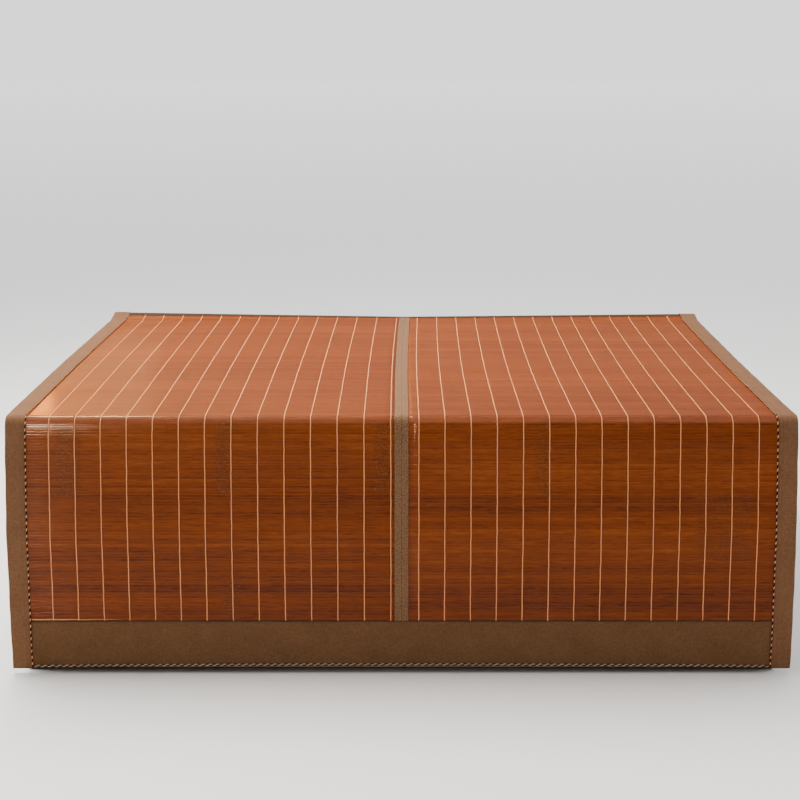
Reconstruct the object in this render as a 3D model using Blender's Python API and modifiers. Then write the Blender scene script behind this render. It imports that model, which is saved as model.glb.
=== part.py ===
"""A bamboo slat mat that lies on a bed and falls over its foot edge.

Metres, +Z up. The slats run along X, the head of the bed is at +Y and the foot at -Y.
A place on the mat is given by three numbers: across, from the mat's middle towards +X,
run, along the mat's face from its head edge to its hem, and out, away from the face.
"""

import math

import bmesh
import bpy
from mathutils import Vector

# The mat's driving sizes
MAT_WIDTH = 1.800
MAT_LENGTH = 1.950
HEM_ABOVE_FLOOR = 0.012
SHEET = 0.0020  # slats on their backing
PLY = 0.0008  # one layer of binding cloth
GAP = 0.0003  # between pieces that touch

# The mat's run from head to hem: length, heading at its end in degrees below level, rows
FALL = {
    "bed_top": (1.348, 0.0, 8),
    "foot_bend": (0.030, 71.7, 12),
    "shoulder": (0.040, 81.6, 4),
    "upper_fall": (0.170, 81.6, 2),
    "middle_fall": (0.080, 88.8, 3),
    "lower_fall": (0.080, 87.1, 2),
    "skirt": (0.202, 91.5, 4),
}

# Slats
SLATS = 270
SLAT_PITCH = 0.006787
GROOVE = 0.0005  # between two slats
PANEL_GAP = 0.0010  # between the two panels, under the centre band

# Bindings, bands and trims
BINDING_WIDTH = 0.0452
BINDING_UNDER = 0.025
EDGING_WIDTH = 0.022
EDGING_UNDER = 0.012
EDGING_SLACK = 0.0002  # the edging is folded a little looser than the side bindings
BAND_WIDTH = 0.0318
BAND_THICK = 0.0010
FOOT_BAND_DEPTH = 0.115
FOLD_ROUNDING = 0.0010  # at the band's seam and at its hem
HEM_RISE = 0.005  # of the foot band's middle above its ends
TRIM_RADIUS = 0.0015
TRIM_STEP = 0.012  # over which a trim climbs onto the edging or the foot band
HEM_TRIM_ABOVE_HEM = 0.0050

# How unevenly the mat lies
CURL_LEFT = 0.014  # lift of the head corners, which the stiff slats carry straight
CURL_RIGHT = 0.009
CURL_SLATS = 10  # slats that lift
CURL_CELLS = 24  # across the head edge, so that its flat facets follow the lift
SKEW = 0.011  # sideways, at the head
SKEW_REACH = 0.900

# Bed
MATTRESS_WIDTH = 1.750
MATTRESS_HEIGHT = 0.200
MATTRESS_ROLL = 0.028
MATTRESS_BEHIND_BEND = 0.0158  # front face, behind the place where the bend starts
BASE_WIDTH = 1.744
BASE_PROUD = 0.034  # in front of the mattress
BASE_ROLL = 0.012
BED_SHORT_OF_HEAD = 0.010

# Worked out from the sizes above
HALF = MAT_WIDTH / 2
FOLD_INNER = SHEET / 2 + GAP
FOLD_OUTER = FOLD_INNER + PLY
FOLD_MIDDLE = (FOLD_INNER + FOLD_OUTER) / 2
PLY_MIDDLE = GAP + PLY / 2
PLY_TOP = GAP + PLY
PANEL_START = FOLD_OUTER
PANEL_END = PANEL_START + SLATS * SLAT_PITCH
PANEL_EDGE = HALF - FOLD_OUTER
CURL_REACH = PANEL_START + CURL_SLATS * SLAT_PITCH
FOOT_BAND_TOP = MAT_LENGTH - FOOT_BAND_DEPTH
FACE_EDGE = HALF - BINDING_WIDTH - GAP  # of what lies between the side bindings
TRIM_ACROSS = HALF - BINDING_WIDTH - GAP - TRIM_RADIUS

# Colours, from the photograph
BAMBOO = (0.29, 0.075, 0.022)
BINDING = (0.23, 0.125, 0.070)
BAND = (0.20, 0.120, 0.070)
TAPE = (0.055, 0.028, 0.018)
TRIM = (0.30, 0.16, 0.09)
TICKING = (0.74, 0.70, 0.63)
BASE = (0.42, 0.34, 0.27)


def clear_scene():
    for each in list(bpy.data.objects):
        bpy.data.objects.remove(each, do_unlink=True)


def collection(name):
    group = bpy.data.collections.new(name)
    bpy.context.scene.collection.children.link(group)
    return group


def paint(name, colour, roughness):
    """A plain finish of one colour."""
    material = bpy.data.materials.new(name)
    material.use_nodes = True
    shader = material.node_tree.nodes["Principled BSDF"]
    shader.inputs["Base Color"].default_value = (*colour, 1.0)
    shader.inputs["Roughness"].default_value = roughness
    shader.inputs["Metallic"].default_value = 0.0
    return material


def profile(run):
    """Y, Z and heading of the mat's face at this run, with its head edge at the origin."""
    y, z, heading = 0.0, 0.0, 0.0
    for length, end_degrees, _ in FALL.values():
        part = min(run, length)
        turn = (math.radians(end_degrees) - heading) * part / length
        if abs(turn) < 1e-9:
            y -= part * math.cos(heading)
            z -= part * math.sin(heading)
        else:
            radius = part / turn
            y -= radius * (math.sin(heading + turn) - math.sin(heading))
            z -= radius * (math.cos(heading) - math.cos(heading + turn))
        heading += turn
        run -= part
        if run <= 0.0:
            break
    return y, z, heading


MAT_TOP = HEM_ABOVE_FLOOR - profile(MAT_LENGTH)[1]


def curl(across, run):
    """Lift of the head end, straight from the middle out to each side."""
    reach = max(0.0, 1.0 - run / CURL_REACH)
    side = CURL_LEFT if across < 0.0 else CURL_RIGHT
    return side * reach * abs(across) / HALF


def skew(run):
    """Sideways shift of the mat towards its head."""
    return SKEW * max(0.0, 1.0 - run / SKEW_REACH) ** 1.5


def on_mat(across, run, out):
    """The place of a point given by its three numbers on the mat."""
    y, z, heading = profile(run)
    return Vector(
        (
            across + skew(run),
            y - out * math.sin(heading),
            MAT_TOP + z + out * math.cos(heading) + curl(across, run),
        )
    )


def rows_between(start, end):
    """The runs at which a piece from start to end has its rows."""
    rows = [CURL_REACH / 2, CURL_REACH]
    begin = 0.0
    for length, _, count in FALL.values():
        rows += [begin + length * step / count for step in range(1, count + 1)]
        begin += length
    margin = SLAT_PITCH / 4
    inner = sorted(row for row in rows if start + margin < row < end - margin)
    return [start, *inner, end]


def even(start, end, count):
    return [start + (end - start) * step / count for step in range(count + 1)]


def blank_grid(columns, rows):
    """A flat grid, with the column and row of each of its vertices."""
    bm = bmesh.new()
    wide, long = len(columns) - 1, len(rows) - 1
    bmesh.ops.create_grid(bm, x_segments=wide, y_segments=long, size=0.5)
    return bm


def place_on(vertex, columns, rows):
    """The column and row numbers of a vertex of a flat grid."""
    column = round((vertex.co.x + 0.5) * (len(columns) - 1))
    row = round((vertex.co.y + 0.5) * (len(rows) - 1))
    return column, row


def add_object(name, bm, material, group):
    """Makes the object, with the faces of a closed mesh pointing outwards."""
    bmesh.ops.recalc_face_normals(bm, faces=bm.faces[:])
    if bm.calc_volume(signed=True) < 0.0:
        bmesh.ops.reverse_faces(bm, faces=bm.faces[:])
    mesh = bpy.data.meshes.new(name)
    bm.to_mesh(mesh)
    bm.free()
    mesh.materials.append(material)
    made = bpy.data.objects.new(name, mesh)
    group.objects.link(made)
    return made


def slat_panel(name, columns, material, group):
    """One panel: a sheet with a low ridge for each slat and a smooth back."""
    bm = bmesh.new()

    def across_at(run, out):
        return [bm.verts.new(on_mat(across, run, out)) for across in columns]

    left, right = across_at(PANEL_START, -GROOVE)
    low_left, low_right = across_at(PANEL_START, -SHEET)
    bm.faces.new((left, right, low_right, low_left))
    for slat in range(SLATS):
        start = PANEL_START + slat * SLAT_PITCH
        ridge_left, ridge_right = across_at(start + SLAT_PITCH / 2, 0.0)
        next_left, next_right = across_at(start + SLAT_PITCH, -GROOVE)
        below_left, below_right = across_at(start + SLAT_PITCH, -SHEET)
        bm.faces.new((left, ridge_left, ridge_right, right))
        bm.faces.new((ridge_left, next_left, next_right, ridge_right))
        bm.faces.new((low_left, low_right, below_right, below_left))
        bm.faces.new((low_left, below_left, next_left, ridge_left, left))
        bm.faces.new((right, ridge_right, next_right, below_right, low_right))
        left, right, low_left, low_right = next_left, next_right, below_left, below_right
    bm.faces.new((left, low_left, low_right, right))
    return add_object(name, bm, material, group)


def cloth(name, columns, rows, place, material, group, thickness=PLY):
    """A strip of cloth: an open surface given its thickness, half to each side."""
    bm = blank_grid(columns, rows)
    for vertex in bm.verts:
        column, row = place_on(vertex, columns, rows)
        vertex.co = place(columns[column], rows[row])
    made = add_object(name, bm, material, group)
    shell = made.modifiers.new("Thickness", "SOLIDIFY")
    shell.thickness = thickness
    shell.offset = 0.0
    return made


def folded(over_width, under_width, slack=0.0):
    """Middle line of cloth folded round an edge: distance in from the fold, and out."""
    turns = 5
    radius = FOLD_MIDDLE + slack
    line = [(over_width, PLY_MIDDLE + slack)]
    for step in range(turns + 1):
        angle = math.pi / 2 + math.pi * step / turns
        inward = FOLD_OUTER + slack + radius * math.cos(angle)
        line.append((inward, radius * math.sin(angle) - SHEET / 2))
    line.append((under_width, -SHEET - PLY_MIDDLE - slack))
    return line


def side_binding(name, side, material, group):
    return cloth(
        name,
        folded(BINDING_WIDTH, BINDING_UNDER),
        rows_between(0.0, MAT_LENGTH),
        lambda fold, run: on_mat(side * (HALF - fold[0]), run, fold[1]),
        material,
        group,
    )


def head_edging(name, material, group):
    """Tape folded round the head edge, between the side bindings."""
    return cloth(
        name,
        folded(EDGING_WIDTH, EDGING_UNDER, EDGING_SLACK),
        even(-FACE_EDGE, FACE_EDGE, CURL_CELLS),
        lambda fold, across: on_mat(across, fold[0], fold[1]),
        material,
        group,
    )


def centre_band(name, material, group):
    half = BAND_WIDTH / 2
    return cloth(
        name,
        [-half, 0.0, half],
        rows_between(EDGING_WIDTH + GAP, FOOT_BAND_TOP - GAP),
        lambda across, run: on_mat(across, run, GAP + BAND_THICK / 2),
        material,
        group,
        BAND_THICK,
    )


def hem_run(across, run):
    """Moves a row of the foot band up where its hem rises towards the middle."""
    share = (run - FOOT_BAND_TOP) / FOOT_BAND_DEPTH
    return run - HEM_RISE * share * (1.0 - (across / HALF) ** 2)


def foot_band(name, material, group):
    """A folded band below the slats, thinner where it runs on under the side bindings."""
    inner = even(-FACE_EDGE, FACE_EDGE, 8)
    step = FACE_EDGE + GAP / 3
    columns = [-PANEL_EDGE, -step, *inner, step, PANEL_EDGE]
    rows = rows_between(FOOT_BAND_TOP, MAT_LENGTH)
    rows[1:1] = [FOOT_BAND_TOP + FOLD_ROUNDING]
    rows[-1:-1] = [MAT_LENGTH - FOLD_ROUNDING]
    bm = blank_grid(columns, rows)
    made = bmesh.ops.extrude_face_region(bm, geom=bm.faces[:])
    back = {item for item in made["geom"] if isinstance(item, bmesh.types.BMVert)}
    for vertex in bm.verts:
        column, row = place_on(vertex, columns, rows)
        across = columns[column]
        out = PLY_TOP if 2 <= column < len(columns) - 2 else 0.0
        if vertex in back:
            out = -SHEET
        if row in (0, len(rows) - 1):
            out += math.copysign(FOLD_ROUNDING / 2, -SHEET / 2 - out)
        vertex.co = on_mat(across, hem_run(across, rows[row]), out)
    return add_object(name, bm, material, group)


def trim_height(run, high_start):
    """How far out a trim's middle lies: higher on the edging and on the foot band."""
    low = GAP + TRIM_RADIUS
    climb_foot = (run - FOOT_BAND_TOP) / TRIM_STEP + 1.0
    climb_head = (EDGING_WIDTH - run) / TRIM_STEP + 1.0 if high_start else 0.0
    return low + PLY_TOP * min(1.0, max(0.0, climb_foot, climb_head))


def tube(name, points, material, group):
    """A round trim along these points."""
    line = bpy.data.curves.new(name, "CURVE")
    line.dimensions = "3D"
    line.bevel_depth = TRIM_RADIUS
    line.bevel_resolution = 2
    line.use_fill_caps = True
    line.materials.append(material)
    spline = line.splines.new("POLY")
    spline.points.add(len(points) - 1)
    for point, place in zip(spline.points, points, strict=True):
        point.co = (*place, 1.0)
    made = bpy.data.objects.new(name, line)
    group.objects.link(made)
    return made


def side_trim(name, side, material, group):
    ends = 0.001
    rows = rows_between(ends, MAT_LENGTH - ends)
    rows += [EDGING_WIDTH, EDGING_WIDTH + TRIM_STEP]
    rows += [FOOT_BAND_TOP - TRIM_STEP, FOOT_BAND_TOP]
    points = [
        on_mat(side * TRIM_ACROSS, run, trim_height(run, True)) for run in sorted(set(rows))
    ]
    return tube(name, points, material, group)


def hem_trim(name, material, group):
    reach = TRIM_ACROSS - 2 * TRIM_RADIUS - GAP
    run = MAT_LENGTH - HEM_TRIM_ABOVE_HEM
    points = [
        on_mat(across, hem_run(across, run), PLY_TOP + GAP + TRIM_RADIUS)
        for across in even(-reach, reach, 12)
    ]
    return tube(name, points, material, group)


def rounded_box(name, low, high, roll, segments, material, group):
    """A box between two corners, with its edges rounded."""
    bpy.ops.mesh.primitive_cube_add(size=1.0)
    made = bpy.context.active_object
    made.name = name
    made.data.name = name
    size = Vector(high) - Vector(low)
    for vertex in made.data.vertices:
        vertex.co = Vector(a * b for a, b in zip(vertex.co, size, strict=True))
    made.location = (Vector(low) + Vector(high)) / 2
    for old in list(made.users_collection):
        old.objects.unlink(made)
    group.objects.link(made)
    made.data.materials.append(material)
    edges = made.modifiers.new("Rounded edges", "BEVEL")
    edges.width = roll
    edges.segments = segments
    return made


def bed(group):
    """The mattress under the mat and the base under the mattress."""
    back = -BED_SHORT_OF_HEAD
    front = profile(FALL["bed_top"][0])[0] - MATTRESS_BEHIND_BEND
    top = MAT_TOP - SHEET - GAP
    mattress = rounded_box(
        "mattress",
        (-MATTRESS_WIDTH / 2, front, top - MATTRESS_HEIGHT),
        (MATTRESS_WIDTH / 2, back, top),
        MATTRESS_ROLL,
        4,
        paint("ticking", TICKING, 0.9),
        group,
    )
    base = rounded_box(
        "bed_base",
        (-BASE_WIDTH / 2, front - BASE_PROUD, 0.0),
        (BASE_WIDTH / 2, back, top - MATTRESS_HEIGHT - GAP),
        BASE_ROLL,
        2,
        paint("base_cloth", BASE, 0.9),
        group,
    )
    return [mattress, base]


def centre_on_origin(parts):
    """Puts the middle of the whole part's footprint on the origin."""
    bpy.context.view_layer.update()
    graph = bpy.context.evaluated_depsgraph_get()
    corners = []
    for each in parts:
        solid = each.evaluated_get(graph)
        corners += [solid.matrix_world @ Vector(corner) for corner in solid.bound_box]
    for axis in (0, 1):
        places = [corner[axis] for corner in corners]
        for each in parts:
            each.location[axis] -= (min(places) + max(places)) / 2


def build():
    clear_scene()
    group = collection("bamboo_mat_on_bed")
    bamboo = paint("bamboo", BAMBOO, 0.35)
    binding = paint("binding_cloth", BINDING, 0.85)
    band = paint("band_cloth", BAND, 0.85)
    trim = paint("trim_cord", TRIM, 0.7)
    seam = PANEL_GAP / 2
    parts = [
        slat_panel("bamboo_panel_left", (-PANEL_EDGE, -seam), bamboo, group),
        slat_panel("bamboo_panel_right", (seam, PANEL_EDGE), bamboo, group),
        centre_band("centre_band", band, group),
        side_binding("side_binding_left", -1, binding, group),
        side_binding("side_binding_right", 1, binding, group),
        head_edging("head_edging", paint("edging_tape", TAPE, 0.85), group),
        foot_band("foot_band", binding, group),
        side_trim("trim_left", -1, trim, group),
        side_trim("trim_right", 1, trim, group),
        hem_trim("hem_trim", trim, group),
    ]
    parts += bed(group)
    centre_on_origin(parts)


build()
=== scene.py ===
"""Looks of the bamboo slat mat and of the bed that it hangs from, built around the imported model."""

import math

import bmesh
import bpy
import numpy as np
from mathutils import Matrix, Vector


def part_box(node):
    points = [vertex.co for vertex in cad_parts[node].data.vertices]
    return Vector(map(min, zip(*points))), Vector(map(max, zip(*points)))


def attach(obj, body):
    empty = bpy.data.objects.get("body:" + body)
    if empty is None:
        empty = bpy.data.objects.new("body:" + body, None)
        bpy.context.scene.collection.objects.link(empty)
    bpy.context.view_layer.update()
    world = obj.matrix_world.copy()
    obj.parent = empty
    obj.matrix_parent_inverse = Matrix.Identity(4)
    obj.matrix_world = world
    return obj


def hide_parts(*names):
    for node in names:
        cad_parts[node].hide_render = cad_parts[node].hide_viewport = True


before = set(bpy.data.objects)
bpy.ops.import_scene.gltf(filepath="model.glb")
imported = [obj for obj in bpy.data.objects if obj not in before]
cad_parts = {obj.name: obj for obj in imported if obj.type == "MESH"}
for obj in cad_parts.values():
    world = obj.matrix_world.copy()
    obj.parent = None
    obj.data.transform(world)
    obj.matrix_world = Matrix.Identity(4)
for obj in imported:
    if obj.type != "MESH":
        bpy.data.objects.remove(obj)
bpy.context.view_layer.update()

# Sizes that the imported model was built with, in metres
MAT_LENGTH = 1.950
HALF = 0.900
HEM_ABOVE_FLOOR = 0.012
SHEET, PLY, GAP = 0.0020, 0.0008, 0.0003
FALL = ((1.348, 0.0), (0.030, 71.7), (0.040, 81.6), (0.170, 81.6), (0.080, 88.8), (0.080, 87.1), (0.202, 91.5))
SLATS, SLAT_PITCH = 270, 0.006787
BEND_FIRST, BEND_LAST = 1.345, 1.425
PANEL_GAP = 0.0010
BINDING_WIDTH, BINDING_UNDER = 0.0452, 0.025
STITCHES_IN = 0.0105  # from the inner edge of a side binding to its row of stitches
EDGING_WIDTH, EDGING_UNDER = 0.022, 0.012
BAND_WIDTH, BAND_THICK = 0.0318, 0.0010
FOOT_BAND_DEPTH, HEM_RISE = 0.115, 0.005
TRIM_RADIUS, TRIM_STEP = 0.0015, 0.012
HEM_TRIM_ABOVE_HEM = 0.0050
CURL_LEFT, CURL_RIGHT, CURL_SLATS = 0.014, 0.009, 10
SKEW, SKEW_REACH = 0.011, 0.900
BED_SHORT_OF_HEAD = 0.010
FOLD_INNER = SHEET / 2 + GAP
FOLD_OUTER = FOLD_INNER + PLY
PLY_TOP = GAP + PLY
PANEL_START = FOLD_OUTER
PANEL_END = PANEL_START + SLATS * SLAT_PITCH
PANEL_EDGE = HALF - FOLD_OUTER
CURL_REACH = PANEL_START + CURL_SLATS * SLAT_PITCH
FOOT_BAND_TOP = MAT_LENGTH - FOOT_BAND_DEPTH
FACE_EDGE = HALF - BINDING_WIDTH - GAP
TRIM_ACROSS = FACE_EDGE - TRIM_RADIUS

MATTRESS_LOW, MATTRESS_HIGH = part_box("mattress")
BASE_LOW, BASE_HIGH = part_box("bed_base")
HEAD_LINE = MATTRESS_HIGH[1] + BED_SHORT_OF_HEAD
MIDDLE = (MATTRESS_LOW[0] + MATTRESS_HIGH[0]) / 2

# The camera stands square to the foot of the bed and looks a little down
CAMERA_PITCH, CAMERA_ASIDE, CAMERA_UP = 12.550, 0.0034, 0.82214
CAMERA_BACK = 1.3648 + 3.51672  # from the mat's head line, over the mat and then to the camera
camera_data = bpy.data.cameras.new("camera")
camera_data.lens = 71.64
camera_data.sensor_width = 36.0
camera = bpy.data.objects.new("camera", camera_data)
camera.rotation_euler = (math.radians(90.0 - CAMERA_PITCH), 0.0, 0.0)
bpy.context.scene.collection.objects.link(camera)
bpy.context.scene.camera = camera


def profile(run):
    """How far back, how low and at what slope the mat's face is, this far along it from the head edge."""
    left = np.asarray(run, float)
    y, z, heading = np.zeros_like(left), np.zeros_like(left), np.zeros_like(left)
    start = 0.0
    for length, end_degrees in FALL:
        part = np.clip(left, 0.0, length)
        end = math.radians(end_degrees)
        if abs(end - start) < 1e-9:
            y -= part * math.cos(start)
            z -= part * math.sin(start)
        else:
            radius = length / (end - start)
            turned = start + part / radius
            y -= radius * (np.sin(turned) - math.sin(start))
            z -= radius * (math.cos(start) - np.cos(turned))
        heading = np.where(left > 0, start + (end - start) * part / length, heading)
        left = left - length
        start = end
    return y, z, heading


MAT_TOP = HEM_ABOVE_FLOOR - float(profile(MAT_LENGTH)[1])
camera.location = (MIDDLE - CAMERA_ASIDE, HEAD_LINE - CAMERA_BACK, MAT_TOP + CAMERA_UP)


def on_mat(across, run, out):
    """Points of the scene for places on the mat: across its middle, along from its head, off its face."""
    y, z, heading = profile(run)
    side = np.where(across < 0, CURL_LEFT, CURL_RIGHT)
    curl = side * np.clip(1 - run / CURL_REACH, 0, None) * np.abs(across) / HALF
    skew = SKEW * np.clip(1 - run / SKEW_REACH, 0, None) ** 1.5
    return np.stack((MIDDLE + across + skew, HEAD_LINE + y - out * np.sin(heading),
                     MAT_TOP + z + out * np.cos(heading) + curl), -1)


def hem_run(across, run):
    """The foot band's runs, drawn up a little in the middle of the hem."""
    share = np.clip((run - FOOT_BAND_TOP) / FOOT_BAND_DEPTH, 0, None)
    return run - HEM_RISE * share * (1 - (across / HALF) ** 2)


def steps(*stops):
    """Evenly spaced values through the stops, given as value, spacing, value, spacing, value."""
    values = [stops[0]]
    for start, gap, end in zip(stops[0::2], stops[1::2], stops[2::2]):
        count = max(1, round(abs(end - start) / gap))
        values += list(np.linspace(start, end, count + 1)[1:])
    return np.array(values)


def along(first, last, flat=0.012, bend=0.0035, fall=0.008):
    """Runs from one to another, closer together where the mat bends."""
    stops, gaps = [first], []
    for edge, gap in ((CURL_REACH, 0.004), (BEND_FIRST, flat), (BEND_LAST, bend), (last, fall)):
        if stops[-1] < edge <= last or edge == last:
            stops.append(edge)
            gaps.append(gap)
    return steps(*[v for pair in zip(stops, gaps + [0]) for v in pair][:-1])


def add_mesh(name, points, faces, flat, material):
    """One piece of the scene, with the places on the cloth kept for its material."""
    mesh = bpy.data.meshes.new(name)
    mesh.from_pydata(np.asarray(points).tolist(), [], faces)
    mesh.attributes.new("flat", "FLOAT_VECTOR", "POINT").data.foreach_set(
        "vector", np.asarray(flat, np.float32).ravel())
    bm = bmesh.new()
    bm.from_mesh(mesh)
    bmesh.ops.recalc_face_normals(bm, faces=bm.faces)
    if any(edge.is_boundary for edge in bm.edges) and sum(f.normal.z * f.calc_area() for f in bm.faces) < 0:
        bmesh.ops.reverse_faces(bm, faces=bm.faces)
    bm.to_mesh(mesh)
    bm.free()
    mesh.polygons.foreach_set("use_smooth", [True] * len(mesh.polygons))
    mesh.materials.append(material)
    piece = bpy.data.objects.new(name, mesh)
    bpy.context.scene.collection.objects.link(piece)
    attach(piece, "root")
    return piece


def skin(name, parts, material):
    """One piece from several skins, each through rows of points given as across, run and out."""
    points, flats, faces, base = [], [], [], 0
    for across, run, out, closed, capped in parts:
        across, run, out = np.broadcast_arrays(across, run, out)
        rows, columns = across.shape
        index = base + np.arange(rows * columns).reshape(rows, columns)
        near, far = (index, np.roll(index, -1, 1)) if closed else (index[:, :-1], index[:, 1:])
        quads = np.stack((near[:-1], far[:-1], far[1:], near[1:]), -1).reshape(-1, 4)
        faces += quads.tolist()
        if capped:
            faces += [index[0].tolist(), index[-1][::-1].tolist()]
        points.append(on_mat(across, run, out).reshape(-1, 3))
        flats.append(np.stack((across, run, out), -1).reshape(-1, 3))
        base += rows * columns
    return add_mesh(name, np.concatenate(points), faces, np.concatenate(flats), material)


def waves(at, seed, *lengths):
    """A gentle uneven wave from -1 to 1, the sum of a few wavelengths in metres."""
    phases = np.random.default_rng(seed).uniform(0, 2 * math.pi, len(lengths))
    return sum(np.sin(2 * math.pi * at / length + phase)
               for length, phase in zip(lengths, phases)) / len(lengths)


class Paint:
    """A node material. Each call adds one node and gives back an output."""

    def __init__(self, name, **shader):
        self.material = bpy.data.materials.new(name)
        self.material.use_nodes = True
        self.tree = self.material.node_tree
        self.shader = self.tree.nodes["Principled BSDF"]
        for key, value in shader.items():
            self.set(self.shader.inputs[key.replace("_", " ")], value)
        self.flat = self.add("ShaderNodeAttribute", out="Vector", attribute_name="flat")
        self.across, self.run, self.out = self.split(self.flat)

    def set(self, socket, value):
        if isinstance(value, bpy.types.NodeSocket):
            self.tree.links.new(value, socket)
        elif socket.type == "RGBA":
            socket.default_value = (*value, 1.0)
        else:
            socket.default_value = value

    def add(self, kind, *values, out=0, named=None, **settings):
        node = self.tree.nodes.new(kind)
        for key, value in settings.items():
            setattr(node, key, value)
        for socket, value in zip(node.inputs, values):
            self.set(socket, value)
        for key, value in (named or {}).items():
            self.set(node.inputs[key], value)
        return node.outputs[out]

    def split(self, vector):
        node = self.tree.nodes.new("ShaderNodeSeparateXYZ")
        self.set(node.inputs[0], vector)
        return node.outputs

    def math(self, operation, *values, clamp=False):
        return self.add("ShaderNodeMath", *values, operation=operation, use_clamp=clamp)

    def ramp(self, value, low, high, to_low=0.0, to_high=1.0):
        """value from low to high becomes to_low to to_high, smoothly and no further."""
        return self.add("ShaderNodeMapRange", value, low, high, to_low, to_high,
                        interpolation_type="SMOOTHSTEP")

    def scaled(self, *scale):
        return self.add("ShaderNodeVectorMath", self.flat, scale, operation="MULTIPLY")

    def noise(self, vector, detail=3.0, rough=0.5):
        return self.add("ShaderNodeTexNoise", named={"Vector": vector, "Scale": 1.0, "Detail": detail,
                                                     "Roughness": rough})

    def random(self, value):
        return self.add("ShaderNodeTexWhiteNoise", named={"W": value}, noise_dimensions="1D")

    def mix(self, share, first, second):
        node = self.tree.nodes.new("ShaderNodeMix")
        node.data_type = "RGBA"
        for place, value in ((0, share), (6, first), (7, second)):
            self.set(node.inputs[place], value)
        return node.outputs[2]

    def bump(self, height, distance, strength):
        return self.add("ShaderNodeBump", named={"Height": height, "Distance": distance, "Strength": strength})

    def finish(self, colour, **linked):
        self.set(self.shader.inputs["Base Color"], colour)
        for key, value in linked.items():
            self.set(self.shader.inputs[key], value)
        return self.material


WEAVE_RELIEF, FIBRE_RELIEF = 0.00025, 0.00018


def woven(name, dark, light, thread=0.0011, mottle=0.35, line=None):
    """Plain woven cloth: warp and weft threads, a slight slub, and a soft mottle over the piece."""
    p = Paint(name, Roughness=0.85, Sheen_Weight=0.05, Sheen_Roughness=0.5, Specular_IOR_Level=0.06)
    warp = p.math("SINE", p.math("MULTIPLY", p.across, 2 * math.pi / thread))
    weft = p.math("SINE", p.math("MULTIPLY", p.run, 2 * math.pi / thread))
    weave = p.math("MULTIPLY_ADD", p.math("MULTIPLY", warp, weft), 0.5, 0.5)
    slub = p.noise(p.scaled(900.0, 60.0, 60.0), 2.0)
    slub_over = p.noise(p.scaled(60.0, 900.0, 60.0), 2.0)
    cloud = p.noise(p.scaled(14.0, 14.0, 14.0), 4.0, 0.6)
    grain = p.noise(p.scaled(190.0, 190.0, 190.0), 3.0, 0.7)
    tone = p.math("MULTIPLY_ADD", p.math("ADD", slub, slub_over), 0.42, -0.20)
    tone = p.math("ADD", tone, p.math("MULTIPLY_ADD", grain, 0.70, -0.35))
    tone = p.math("ADD", tone, p.math("MULTIPLY", weave, 0.35))
    tone = p.math("ADD", tone, p.math("MULTIPLY_ADD", cloud, mottle, -mottle / 2), clamp=True)
    colour = p.mix(tone, dark, light)
    if line is not None:
        colour = line(p, colour)
    rise = p.math("ADD", weave, p.math("MULTIPLY", p.math("ADD", slub, slub_over), 0.6))
    return p.finish(colour, Normal=p.bump(rise, WEAVE_RELIEF, 0.6))


# The varnished bamboo: fibres, slats of their own tone, batches, the culm joints, and painted shade and painted
# highlight at the slat edges
PATCHES = (  # middle across, half width, first run, last run, how dark
    (-0.757, 0.028, 1.388, 1.540, 0.9), (-0.402, 0.019, 1.368, 1.537, 0.9), (0.322, 0.016, 1.370, 1.540, 0.7),
    (-0.389, 0.014, 1.742, 1.834, 0.9), (-0.045, 0.016, 1.375, 1.535, 0.9), (0.735, 0.060, 1.535, 1.690, 0.5),
    (0.300, 0.014, 1.745, 1.834, 0.4), (-0.560, 0.020, 0.840, 0.960, 0.6), (0.120, 0.018, 1.020, 1.200, 0.5),
    (0.560, 0.018, 0.560, 0.700, 0.6), (-0.200, 0.018, 0.300, 0.480, 0.6), (0.440, 0.020, 0.080, 0.200, 0.6))
BATCHES = ((1.538, -0.16), (1.583, 0.10), (1.748, -0.08))  # first run, how much lighter
BAMBOO_TONES = ((0.05, (0.072, 0.010, 0.0005)), (0.95, (0.33, 0.086, 0.009)), (0.45, (0.175, 0.031, 0.0013)))


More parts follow.
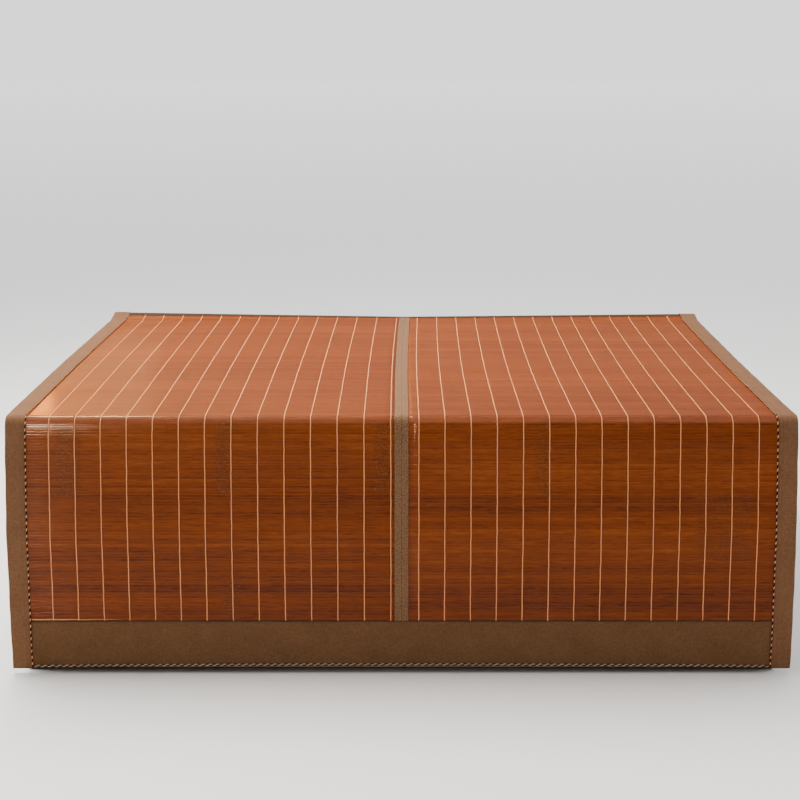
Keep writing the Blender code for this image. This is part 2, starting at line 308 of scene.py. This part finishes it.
def bamboo_paint():
    p = Paint("bamboo", Specular_IOR_Level=0.04, Coat_Weight=0.14, Coat_Roughness=0.11)
    place = p.math("DIVIDE", p.math("SUBTRACT", p.run, PANEL_START), SLAT_PITCH)
    slat = p.math("FLOOR", p.math("ADD", place, p.math("MULTIPLY", p.math("SIGN", p.across), 500.0)))
    within = p.math("FRACT", place)
    own = p.random(slat)
    batch = p.random(p.math("FLOOR", p.math("DIVIDE", slat, 17.0)))
    shift = p.add("ShaderNodeCombineXYZ", p.math("MULTIPLY", own, 70.0), 0.0, p.math("MULTIPLY", slat, 3.7))

    def streaks(across_scale, run_scale, detail, rough):
        """Streaks along the slats that break off at each slat's edge."""
        scaled = p.scaled(across_scale, run_scale, 0.0)
        return p.noise(p.add("ShaderNodeVectorMath", scaled, shift, operation="ADD"), detail, rough)

    fibre = streaks(40.0, 900.0, 3.0, 0.6)
    coarse = streaks(13.0, 120.0, 3.0, 0.6)
    dashes = streaks(34.0, 330.0, 2.0, 0.5)
    cloud = p.noise(p.scaled(2.4, 5.5, 0.0), 3.0, 0.5)
    tone = p.math("MULTIPLY_ADD", fibre, 0.46, 0.235)
    tone = p.math("ADD", tone, p.math("MULTIPLY_ADD", coarse, 0.50, -0.26))
    tone = p.math("ADD", tone, p.ramp(dashes, 0.50, 0.66, 0.0, -0.13))
    tone = p.math("ADD", tone, p.math("MULTIPLY_ADD", own, 0.18, -0.09))
    tone = p.math("ADD", tone, p.math("MULTIPLY_ADD", batch, 0.12, -0.06))
    tone = p.math("ADD", tone, p.math("MULTIPLY_ADD", cloud, 0.26, -0.13))
    for start, change in BATCHES:
        tone = p.math("ADD", tone, p.ramp(p.run, start - 0.001, start + 0.001, 0.0, change))
    mottle = p.noise(p.scaled(160.0, 420.0, 0.0), 3.0, 0.7)
    knot = 0.0
    for middle, half, first, last, dark in PATCHES:
        ragged = p.math("MULTIPLY_ADD", own, 0.016, -0.008)
        away = p.math("ABSOLUTE", p.math("ADD", p.math("SUBTRACT", p.across, middle), ragged))
        inside = p.ramp(away, half - 0.006, half + 0.006, dark, 0.0)
        inside = p.math("MULTIPLY", inside, p.math("MULTIPLY", p.math("GREATER_THAN", p.run, first),
                                                   p.math("LESS_THAN", p.run, last)))
        knot = p.math("MAXIMUM", knot, inside)
    colour = p.add("ShaderNodeValToRGB", tone, out="Color")
    elements = colour.node.color_ramp.elements
    for number, (place, shade) in enumerate(BAMBOO_TONES):
        element = elements[number] if number < 2 else elements.new(place)
        element.position, element.color = place, (*shade, 1)
    spots = p.ramp(mottle, 0.42, 0.62)
    speck = p.mix(p.ramp(streaks(110.0, 300.0, 2.0, 0.6), 0.50, 0.64),
                  (0.050, 0.014, 0.003), (0.260, 0.095, 0.026))
    colour = p.mix(p.math("MULTIPLY", knot, 0.22), colour, (0.075, 0.021, 0.004))
    colour = p.mix(p.math("MULTIPLY", p.math("MULTIPLY", knot, 0.55), spots), colour, speck)
    # Painted shade: each slat darkens towards its edges, where the grooves between slats lie in shade. Painted
    # highlight: a thin lighter strip near each slat's head-side edge stands for the glint along it.
    seam = p.math("ABSOLUTE", p.math("SUBTRACT", within, 0.5))
    colour = p.mix(p.ramp(seam, 0.40, 0.5, 0.0, 0.34), colour, (0.040, 0.007, 0.002))
    colour = p.mix(p.ramp(within, 0.10, 0.26, 0.09, 0.0), colour, (0.46, 0.150, 0.030))
    rough = p.math("MULTIPLY_ADD", coarse, 0.20, 0.38)
    height = p.math("ADD", fibre, p.math("MULTIPLY", p.math("MULTIPLY", knot, mottle), 0.5))
    return p.finish(colour, Roughness=rough, Normal=p.bump(height, FIBRE_RELIEF, 0.30))


def thread_paint(name, light, dark, half):
    """Sewing thread, light in its middle and dark at its low sides as painted shade where it lies on the slats,
    with a fine twist.
    """
    p = Paint(name, Roughness=0.7, Specular_IOR_Level=0.15)
    twist = p.math("SINE", p.math("MULTIPLY", p.math("ADD", p.run, p.math("MULTIPLY", p.across, 0.7)),
                                  2 * math.pi / 0.0024))
    tone = p.math("MULTIPLY_ADD", twist, 0.12, 0.88)
    # Painted shade: the parts of the thread below its middle take the dark colour, for the shade where it meets
    # the slats.
    middle = p.ramp(p.out, half, half + 0.00012)
    return p.finish(p.mix(p.math("MULTIPLY", middle, tone), dark, light))


def ply_paint(name, colour, shade):
    """One strand of a twisted cord, with the lay of its fibres."""
    p = Paint(name, Roughness=0.75, Specular_IOR_Level=0.10)
    lay = p.noise(p.scaled(1400.0, 500.0, 1400.0), 2.0)
    return p.finish(p.mix(p.ramp(lay, 0.35, 0.65), shade, colour))


def binding_lines(p, colour):
    """The faint row of stitches outside the trim."""
    from_middle = p.math("ABSOLUTE", p.across)
    row = p.math("ABSOLUTE", p.math("SUBTRACT", from_middle, FACE_EDGE + STITCHES_IN))
    stitch = p.math("GREATER_THAN", p.math("SINE", p.math("MULTIPLY", p.run, 2 * math.pi / 0.0045)), -0.35)
    share = p.math("MULTIPLY", p.ramp(row, 0.0003, 0.0009, 0.40, 0.0), stitch)
    return p.mix(share, colour, (0.05, 0.025, 0.015))


TUFT_PITCH, PANEL_PITCH = 0.215, 0.470


def upright_seams(p, colour, pitch, shade):
    """Dark seam lines down the sides of a block."""
    for place in (p.across, p.run):
        turn = p.math("ABSOLUTE", p.math("COSINE", p.math("MULTIPLY", place, math.pi / pitch)))
        colour = p.mix(p.ramp(turn, 0.9990, 0.9998, 0.0, 0.45), colour, shade)
    return colour


def base_seams(p, colour):
    return upright_seams(p, colour, PANEL_PITCH, (0.05, 0.035, 0.025))


def ticking(p, colour):
    """Thin upright stripes on the mattress border, and its rows of stitches."""
    colour = upright_seams(p, colour, TUFT_PITCH, (0.12, 0.10, 0.08))
    place = p.math("FRACT", p.math("DIVIDE", p.math("ADD", p.across, p.run), 0.036))
    stripe = p.math("ABSOLUTE", p.math("SUBTRACT", place, 0.5))
    return p.mix(p.ramp(stripe, 0.03, 0.06, 0.45, 0.0), colour, (0.16, 0.13, 0.10))


bamboo = bamboo_paint()
binding_cloth = woven("binding_cloth", (0.090, 0.038, 0.015), (0.260, 0.130, 0.065), line=binding_lines)
foot_cloth = woven("foot_cloth", (0.070, 0.030, 0.011), (0.205, 0.105, 0.048))
edging_tape = woven("edging_tape", (0.020, 0.009, 0.006), (0.085, 0.045, 0.030), thread=0.0008)
backing_cloth = woven("backing_cloth", (0.30, 0.22, 0.15), (0.55, 0.44, 0.33), thread=0.0014)
mattress_cloth = woven("mattress_cloth", (0.40, 0.36, 0.30), (0.64, 0.60, 0.53), thread=0.0016, mottle=0.15,
                       line=ticking)
welt_cloth = woven("welt_cloth", (0.16, 0.12, 0.09), (0.30, 0.24, 0.19), thread=0.0016, mottle=0.15)
base_cloth = woven("base_cloth", (0.15, 0.11, 0.08), (0.36, 0.29, 0.22), thread=0.0024, line=base_seams)
base_welt_cloth = woven("base_welt_cloth", (0.07, 0.05, 0.035), (0.16, 0.12, 0.09), thread=0.0016)
# The thread's dark colour is painted shade on its low sides.
thread = thread_paint("thread", (0.84, 0.30, 0.10), (0.035, 0.005, 0.001), 0.00022)
tan_ply = ply_paint("tan_ply", (0.85, 0.40, 0.18), (0.50, 0.20, 0.08))
black_ply = ply_paint("black_ply", (0.020, 0.006, 0.004), (0.006, 0.002, 0.002))
grey_ply = ply_paint("grey_ply", (0.60, 0.47, 0.36), (0.30, 0.21, 0.15))
brown_ply = ply_paint("brown_ply", (0.045, 0.026, 0.016), (0.015, 0.008, 0.005))


# The two panels of slats, each slat rounded and a little unlike the next
BAMBOO_THICK = 0.0011
SLAT_SHAPE = ((0.0, -0.00040), (0.045, -0.00010), (0.09, -0.00003), (0.30, 0.0), (0.70, 0.0), (0.91, -0.00003),
              (0.955, -0.00010))


def slats(name, first, last, seed):
    rng = np.random.default_rng(seed)
    columns = np.concatenate(([first], np.linspace(first, last, 22), [last]))
    runs, outs = [], []
    height = rng.normal(0, 0.00009, SLATS)
    tilt = rng.normal(0, 0.00008, SLATS)
    for slat in range(SLATS):
        for share, out in SLAT_SHAPE:
            runs.append(PANEL_START + (slat + share) * SLAT_PITCH)
            outs.append(out + (height[slat] + tilt[slat] * (share - 0.5) if share else 0.0))
    runs.append(PANEL_END)
    outs.append(SLAT_SHAPE[0][1])
    run = np.array(runs)[:, None] * np.ones(len(columns))
    out = np.array(outs)[:, None] + 0.00012 * waves(columns, seed, 0.31, 0.13)
    out[:, 0] = out[:, -1] = -BAMBOO_THICK
    return skin(name, [(columns[None, :], run, out, False, False)], bamboo)


def backing(name, first, last):
    """The cloth that the slats are glued to."""
    columns = np.linspace(first, last, 12)
    loop = np.concatenate((columns, columns[::-1]))
    out = np.concatenate((np.full(len(columns), -BAMBOO_THICK), np.full(len(columns), -SHEET)))
    run = along(PANEL_START + 0.0002, PANEL_END - 0.0002)[:, None]
    return skin(name, [(loop[None, :], run, out[None, :], True, True)], backing_cloth)


left_slats = slats("slats_left", -PANEL_EDGE, -PANEL_GAP / 2, 11)
right_slats = slats("slats_right", PANEL_GAP / 2, PANEL_EDGE, 12)
left_backing = backing("backing_left", -PANEL_EDGE, -PANEL_GAP / 2)
right_backing = backing("backing_right", PANEL_GAP / 2, PANEL_EDGE)
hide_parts("bamboo_panel_left")
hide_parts("bamboo_panel_right")

# The rows of thread that hold the slats, sewn from the head edge to the seam
THREADS = 14
THREAD_SHAPE = (
    (-0.0026, -0.0003), (-0.0023, 0.00012), (-0.0014, 0.00016), (-0.0012, 0.00045), (-0.0005, 0.0007),
    (0.0005, 0.0007), (0.0012, 0.00045), (0.0014, 0.00016), (0.0023, 0.00012), (0.0026, -0.0003))


def threads(name, first, pitch, bow, seed):
    parts = []
    run = along(PANEL_START + 0.001, PANEL_END - 0.0005, flat=0.009, fall=0.006)[:, None]
    for number in range(THREADS):
        middle = first + number * pitch - bow * math.sin(math.pi * number / (THREADS - 1))
        shape = np.array(THREAD_SHAPE) * (0.88, 1.0)
        sway = 0.0005 * waves(run, seed + number, 0.21, 0.074, 0.033)
        parts.append((middle + shape[None, :, 0] + sway, run, shape[None, :, 1], True, True))
    return skin(name, parts, thread)


left_threads = threads("threads_left", -0.8003, 0.0597, 0.0045, 100)
right_threads = threads("threads_right", 0.0395, 0.05935, 0.0, 200)


def folded(top, under, columns):
    """One ply of cloth round an edge, as a closed loop of distance in from the edge and height."""
    middle = -SHEET / 2
    turn = np.linspace(math.pi / 2, -math.pi / 2, 9)
    fold_in = np.linspace(math.pi / 2, -math.pi / 2, 5)
    over = np.linspace(top - 0.0010, FOLD_OUTER + 0.002, columns)
    loop = [(top, GAP), (top, PLY_TOP * 0.62), (top - 0.0003, PLY_TOP * 0.9)]
    loop += [(s, PLY_TOP) for s in over]
    loop += [(FOLD_OUTER - FOLD_OUTER * math.cos(a), middle + FOLD_OUTER * math.sin(a)) for a in turn]
    loop += [((FOLD_OUTER + under) / 2, middle - FOLD_OUTER), (under, middle - FOLD_OUTER)]
    loop += [(under, middle - FOLD_INNER), ((FOLD_OUTER + under) / 2, middle - FOLD_INNER)]
    loop += [(FOLD_OUTER - FOLD_INNER * math.cos(a), middle + FOLD_INNER * math.sin(a)) for a in fold_in[::-1]]
    loop += [((FOLD_OUTER + top) / 2, middle + FOLD_INNER)]
    return np.array(loop)


def side_binding(name, side, seed):
    loop = folded(BINDING_WIDTH, BINDING_UNDER, 12)
    run = along(0.0, MAT_LENGTH)[:, None]
    inward, out = loop[None, :, 0], loop[None, :, 1]
    edge = np.clip(1 - inward / 0.030, 0, 1)
    sway = 0.0009 * waves(run, seed, 0.47, 0.19, 0.083) * edge
    lift = 0.0007 * (1 + waves(run, seed + 1, 0.26, 0.11, 0.061)) * np.clip(inward / 0.012, 0, 1)
    lift = lift * np.clip((BINDING_WIDTH - inward) / 0.008, 0, 1) * (out > 0)
    stitched = 0.00035 * np.exp(-((inward - (BINDING_WIDTH - STITCHES_IN)) / 0.0012) ** 2) * (out > GAP + 0.0001)
    across = side * (HALF - inward + sway)
    return skin(name, [(across, run, out + lift - stitched, True, True)], binding_cloth)


left_binding = side_binding("binding_left", -1, 21)
right_binding = side_binding("binding_right", 1, 22)
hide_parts("side_binding_left")
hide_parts("side_binding_right")


def head_tape():
    loop = folded(EDGING_WIDTH, EDGING_UNDER, 6)
    across = steps(-FACE_EDGE + 0.0006, 0.012, FACE_EDGE - 0.0006)[:, None]
    wave = 0.0004 * waves(across, 31, 0.33, 0.14, 0.06)
    run = loop[None, :, 0] + wave * (loop[None, :, 0] > EDGING_WIDTH / 2)
    return skin("head_tape", [(across, run, loop[None, :, 1], True, True)], edging_tape)


tape = head_tape()
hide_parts("head_edging")

# The ribbed band over the joint of the two panels
RIBS = 8


def ribbed_band():
    half = BAND_WIDTH / 2
    top = np.linspace(-half, half, RIBS * 6 + 1)
    rib = np.abs(np.sin(math.pi * RIBS * (top + half) / BAND_WIDTH)) ** 0.6
    height = GAP + BAND_THICK * (0.62 + 0.38 * rib)
    loop = np.concatenate((top, (half, -half)))
    out = np.concatenate((height, (GAP, GAP)))
    run = along(EDGING_WIDTH + 0.0006, FOOT_BAND_TOP - 0.0006)[:, None]
    sway = 0.0003 * waves(run, 41, 0.35, 0.12)
    part = (loop[None, :] + sway, run, out[None, :], True, True)
    return skin("ribbed_band", [part], band_cloth)


def band_lines(p, colour):
    """Darker lines between the ribs and a dotted weave on them."""
    rib = p.math("ABSOLUTE", p.math("SINE", p.math("MULTIPLY", p.math("ADD", p.across, BAND_WIDTH / 2),
                                                   math.pi * RIBS / BAND_WIDTH)))
    colour = p.mix(p.ramp(rib, 0.05, 0.55, 0.55, 0.0), colour, (0.050, 0.028, 0.018))
    centre = p.ramp(p.math("ABSOLUTE", p.across), 0.0004, 0.0012, 0.6, 0.0)
    colour = p.mix(centre, colour, (0.030, 0.015, 0.010))
    dots = p.noise(p.scaled(420.0, 420.0, 0.0), 2.0)
    return p.mix(p.ramp(dots, 0.48, 0.62, 0.0, 0.28), colour, (0.55, 0.34, 0.20))


band_cloth = woven("band_cloth", (0.078, 0.034, 0.014), (0.250, 0.130, 0.062), thread=0.0013, line=band_lines)
band = ribbed_band()
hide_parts("centre_band")


def foot_cloth_band():
    """The plain cloth below the slats: two plies with a rounded fold at the hem, drawn up in small puckers."""
    across = steps(-FACE_EDGE + 0.0006, 0.0042, FACE_EDGE - 0.0006)[:, None]
    fold_run = MAT_LENGTH - 0.0016
    front = steps(FOOT_BAND_TOP + 0.0004, 0.006, 1.925, 0.0025, fold_run)
    turn = np.linspace(math.pi / 2, -math.pi / 2, 9)[1:-1]
    radius = (PLY_TOP + SHEET + PLY_TOP) / 2
    runs = np.concatenate((front, fold_run + 0.0016 * np.cos(turn), front[::-2]))
    outs = np.concatenate((np.full(len(front), PLY_TOP), -SHEET / 2 + radius * np.sin(turn),
                           np.full(len(front[::-2]), -SHEET - PLY_TOP)))
    runs, outs = runs[None, :], outs[None, :]
    hem = np.clip((runs - 1.915) / 0.030, 0, 1)
    slant = across + 0.6 * (runs - 1.94)
    pucker = 0.00030 * np.sin(2 * math.pi * slant / 0.0166) * hem
    soft = 0.0009 * waves(across + 0.15 * runs, 51, 0.43, 0.21, 0.093)
    soft = soft * np.clip((runs - FOOT_BAND_TOP) / 0.04, 0, 1)
    out = outs + soft + np.where(outs > 0, pucker, 0)
    part = (across, hem_run(across, runs), out, True, True)
    return skin("foot_band_cloth", [part], foot_cloth)


foot = foot_cloth_band()
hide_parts("foot_band")


def twisted(name, line, period, strand, spread, rise, material, turn, sides=7, per_turn=14):
    """One strand of a two-strand cord, wound round a line that is given as across, run and out by distance."""
    length = line[0]
    count = int(length / period * per_turn)
    distance = np.linspace(0, length, count + 1)[:, None]
    angle = 2 * math.pi * distance / period + turn
    ring = np.linspace(0, 2 * math.pi, sides, endpoint=False)[None, :]
    sideways = spread * np.cos(angle) + strand * np.cos(ring)
    up = rise * np.sin(angle) + strand * np.sin(ring)
    across, run, out = line[1](distance, sideways, up)
    return skin(name, [(across, run, out, True, True)], material)


def trim_height(run):
    """The trim lies on the slats, and steps up on to the foot band and the head tape."""
    foot_step = (run - FOOT_BAND_TOP) / TRIM_STEP + 1
    head_step = (EDGING_WIDTH - run) / TRIM_STEP + 1
    return GAP + TRIM_RADIUS + PLY_TOP * np.clip(np.maximum(foot_step, head_step), 0, 1)


def side_line(side):
    return MAT_LENGTH - 0.006, lambda distance, sideways, up: (
        side * TRIM_ACROSS + sideways + 0 * up, distance + 0.003 + 0 * up, trim_height(distance + 0.003) + up)


def hem_line():
    def place(distance, sideways, up):
        across = distance - TRIM_ACROSS + 0.004 + 0 * up
        run = MAT_LENGTH - HEM_TRIM_ABOVE_HEM + sideways
        return across, hem_run(across, run), PLY_TOP + GAP + 0.0008 + up
    return 2 * TRIM_ACROSS - 0.008, place


TRIM_TURN, HEM_TURN = 0.0152, 0.0166
for side, word in ((-1, "left"), (1, "right")):
    line = side_line(side)
    tan = twisted(f"trim_{word}_tan", line, TRIM_TURN, 0.00130, 0.00016, 0.00048, tan_ply, 0.0)
    twisted(f"trim_{word}_black", line, TRIM_TURN, 0.00165, 0.00016, 0.00085, black_ply, math.pi)
    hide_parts(f"trim_{word}")
grey = twisted("hem_cord_light", hem_line(), HEM_TURN, 0.0013, 0.0017, 0.0010, grey_ply, 0.0)
twisted("hem_cord_dark", hem_line(), HEM_TURN, 0.0015, 0.0017, 0.0010, brown_ply, math.pi)
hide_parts("hem_trim")


# The seam between slats and foot band as a dark cord of painted shade, a pale tapered strand of painted
# highlight above it at the left, and a black cord of painted shade along the hem
def flat_cord(name, first, last, run, half, low, high, material, taper=0.0):
    across = steps(first, 0.006, last)[:, None]
    share = (across - first) / (last - first)
    width = half * (1 - taper * share ** 2)
    ring = np.linspace(0, 2 * math.pi, 8, endpoint=False)[None, :]
    wobble = 0.00025 * waves(across, 61, 0.12, 0.047)
    out = (low + high) / 2 + (high - low) / 2 * np.sin(ring) + 0 * across
    return skin(name, [(across, run + width * np.cos(ring) + wobble, out, True, True)], material)


# Painted shade: a dark cord along the seam stands for the shadow under the fold where the foot band meets the
# slats.
flat_cord("seam_shadow_cord", -FACE_EDGE + 0.001, FACE_EDGE - 0.001, FOOT_BAND_TOP - 0.0002, 0.0015, 0.0, 0.00125,
          brown_ply)
# Painted highlight: a pale tapered strand along the last slat at the left stands for the glint on that slat's
# edge.
flat_cord("slat_edge_glint", -FACE_EDGE + 0.004, -0.640, FOOT_BAND_TOP - 0.0036, 0.0013, 0.0, 0.0009,
          tan_ply, taper=0.95)
# Painted shade: a black cord along the hem's lower edge stands for the dark shadow line under the hem.
flat_cord("hem_shadow_cord", -HALF + 0.002, HALF - 0.002, MAT_LENGTH + 0.0004, 0.0020, -0.0024, 0.0022,
          black_ply)


# The mattress and the base: rounded blocks with seams, a little full
MATTRESS_ROLL, BASE_ROLL, BLOCK_SPACING = 0.028, 0.012, 0.018
CLEAR_OF_MAT = 0.006  # how far the welts are sunk along the foot end


def block(name, low, high, radius, shape, material):
    low, high = np.array(low, float), np.array(high, float)
    points, faces, found = [], [], {}
    counts = [max(2, round((high[a] - low[a]) / BLOCK_SPACING)) for a in range(3)]

    def axis_values(a):
        inner = np.linspace(low[a] + radius, high[a] - radius, counts[a] + 1)
        corner = radius * (1 - np.cos(np.linspace(0, math.pi / 2, 6)))[:-1]
        return np.concatenate((low[a] + corner, inner, (high[a] - corner)[::-1]))

    values = [axis_values(a) for a in range(3)]

    def vertex(key):
        if key not in found:
            found[key] = len(points)
            points.append([values[a][key[a]] for a in range(3)])
        return found[key]

    for a in range(3):
        b, c = (a + 1) % 3, (a + 2) % 3
        for end in (0, len(values[a]) - 1):
            for i in range(len(values[b]) - 1):
                for j in range(len(values[c]) - 1):
                    corners = []
                    for di, dj in ((0, 0), (1, 0), (1, 1), (0, 1)):
                        key = [0, 0, 0]
                        key[a], key[b], key[c] = end, i + di, j + dj
                        corners.append(vertex(tuple(key)))
                    faces.append(corners)
    points = np.array(points)
    core = np.clip(points, low + radius, high - radius)
    away = points - core
    size = np.linalg.norm(away, axis=1, keepdims=True)
    normal = away / np.maximum(size, 1e-9)
    rounded = np.where(size > 1e-9, core + radius * normal, points)
    middle = (low + high) / 2
    share = (rounded - middle) / ((high - low) / 2)
    return add_mesh(name, rounded + shape(rounded, share, normal), faces, rounded, material)


def full_sides(fullness, seam_share, power, pitch, narrow, pull):
    """A shape with full sides, drawn in along upright seams. The foot end stays flat behind the mat."""
    def shape(points, share, normal):
        belly = np.clip(1 - (share[:, 2] / seam_share) ** power, 0, 1)
        ring = np.where(np.abs(share[:, 0]) > np.abs(share[:, 1]), points[:, 1], points[:, 0])
        drawn = np.abs(np.cos(math.pi * ring / pitch)) ** narrow
        depth = fullness * belly * (1 - pull * drawn) * (share[:, 1] > -0.97)
        return normal * (1, 1, 0) * depth[:, None]
    return shape


def welt(name, low, high, roll, height, radius, material):
    """A piped seam round a block. Along the foot end it is sunk, clear of the mat."""
    low_x, low_y, high_x, high_y = low[0] + roll, low[1] + roll + CLEAR_OF_MAT, high[0] - roll, high[1] - roll
    corners = ((high_x, high_y), (low_x, high_y), (low_x, low_y), (high_x, low_y))
    path = [(x, y, angle) for turn, (x, y) in enumerate(corners)
            for angle in np.linspace(0, math.pi / 2, 8) + turn * math.pi / 2]
    x, y, angle = (np.array(v)[:, None] for v in zip(*path))
    ring = np.linspace(0, 2 * math.pi, 10, endpoint=False)[None, :]
    reach = roll - 0.001 + radius * np.cos(ring)
    points = np.stack((x + reach * np.cos(angle), y + reach * np.sin(angle),
                       height + radius * np.sin(ring) + 0 * x), -1)
    index = np.arange(points.size // 3).reshape(points.shape[:2])
    after = np.roll(index, -1, 0)
    faces = np.stack((index, np.roll(index, -1, 1), np.roll(after, -1, 1), after), -1).reshape(-1, 4).tolist()
    points = points.reshape(-1, 3)
    return add_mesh(name, points, faces, points, material)


mattress = block("mattress_body", MATTRESS_LOW, MATTRESS_HIGH, MATTRESS_ROLL,
                 full_sides(0.013, 0.72, 2, TUFT_PITCH, 9, 0.85), mattress_cloth)
base = block("base_body", BASE_LOW, BASE_HIGH, BASE_ROLL,
             full_sides(0.010, 0.84, 4, PANEL_PITCH, 40, 1.0), base_cloth)
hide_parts("mattress")
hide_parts("bed_base")
for word, height in (("low", MATTRESS_LOW[2] + 0.022), ("high", MATTRESS_HIGH[2] - 0.022)):
    welt(f"mattress_welt_{word}", MATTRESS_LOW, MATTRESS_HIGH, MATTRESS_ROLL, height, 0.0045, welt_cloth)
for word, height in (("low", BASE_LOW[2] + 0.030), ("high", BASE_HIGH[2] - 0.014)):
    welt(f"base_welt_{word}", BASE_LOW, BASE_HIGH, BASE_ROLL, height, 0.0040, base_welt_cloth)


# Floor and light
def plain(name, colour, roughness):
    material = bpy.data.materials.new(name)
    material.use_nodes = True
    shader = material.node_tree.nodes["Principled BSDF"]
    shader.inputs["Base Color"].default_value = (*colour, 1)
    shader.inputs["Roughness"].default_value = roughness
    return material


FLOOR_HALF = 60.0
floor_mesh = bpy.data.meshes.new("floor")
floor_mesh.from_pydata([(x * FLOOR_HALF, y * FLOOR_HALF, 0) for x, y in ((-1, -1), (1, -1), (1, 1), (-1, 1))],
                       [], [(0, 1, 2, 3)])
floor_mesh.materials.append(plain("floor", (0.90, 0.90, 0.90), 0.8))
floor = bpy.data.objects.new("floor", floor_mesh)
bpy.context.scene.collection.objects.link(floor)

world = bpy.data.worlds.new("studio")
bpy.context.scene.world = world
world.use_nodes = True
background = world.node_tree.nodes["Background"]
direction = world.node_tree.nodes.new("ShaderNodeTexCoord").outputs["Generated"]
upward = world.node_tree.nodes.new("ShaderNodeSeparateXYZ")
world.node_tree.links.new(direction, upward.inputs[0])
bright = world.node_tree.nodes.new("ShaderNodeValToRGB")
world.node_tree.links.new(upward.outputs["Z"], bright.inputs[0])
world.node_tree.links.new(bright.outputs["Color"], background.inputs["Color"])
background.inputs["Strength"].default_value = 2.2
# How bright the studio is, by height above the horizon
SKY = ((0.0, 0.73), (0.05, 0.73), (0.09, 0.06), (0.40, 0.09), (0.80, 0.40))
elements = bright.color_ramp.elements
for number, (height, level) in enumerate(SKY):
    element = elements[number] if number < 2 else elements.new(height)
    element.position = height
    element.color = (level, level, level, 1)


def lamp(name, size, power, colour, spot, aim, diffuse=True, glossy=True):
    """A soft rectangular lamp that the camera does not see, for the light, the gloss or both."""
    light = bpy.data.lights.new(name, "AREA")
    light.shape, light.size, light.size_y = "RECTANGLE", size[0], size[1]
    light.energy, light.color = power, colour
    holder = bpy.data.objects.new(name, light)
    holder.location = spot
    direction = np.array(aim) - np.array(spot)
    flat = math.hypot(direction[0], direction[1])
    holder.rotation_euler = (math.atan2(flat, -direction[2]), 0, math.atan2(-direction[0], direction[1]))
    holder.visible_camera = False
    holder.visible_diffuse = diffuse
    holder.visible_glossy = glossy
    bpy.context.scene.collection.objects.link(holder)


lamp("ceiling", (160.0, 130.0), 101000, (1.0, 1.0, 1.0), (0.0, 69.0, 30.0), (0.0, 69.01, 0.0), glossy=False)
lamp("window", (3.0, 1.6), 255, (1.0, 0.95, 0.88), (-1.3, 0.60, 3.2), (0.0, -0.1, 0.5), glossy=False)
lamp("back_wall", (7.0, 1.4), 22, (1.0, 0.86, 0.70), (0.0, 4.5, 1.9), (0.0, 0.0, 0.6), diffuse=False)
lamp("overhead", (6.0, 3.4), 340, (1.0, 0.80, 0.60), (0.0, -1.7, 3.0), (0.0, -1.69, 0.0), diffuse=False)
lamp("strip", (5.0, 0.12), 40, (1.0, 0.74, 0.52), (0.0, 1.30, 2.88), (0.0, -0.65, 0.6), diffuse=False)
lamp("glare", (0.50, 0.44), 330, (1.0, 0.64, 0.40), (-1.98, -4.7, 2.50), (-0.77, -0.69, 0.58), diffuse=False)
lamp("edge", (0.50, 0.22), 150, (1.0, 0.62, 0.20), (-1.31, 1.30, 2.88), (-0.75, -0.65, 0.6), diffuse=False)
lamp("glow", (0.12, 0.34), 11, (1.0, 0.26, 0.01), (-1.565, 2.5, 1.30), (-0.80, -0.5, 0.6), diffuse=False)
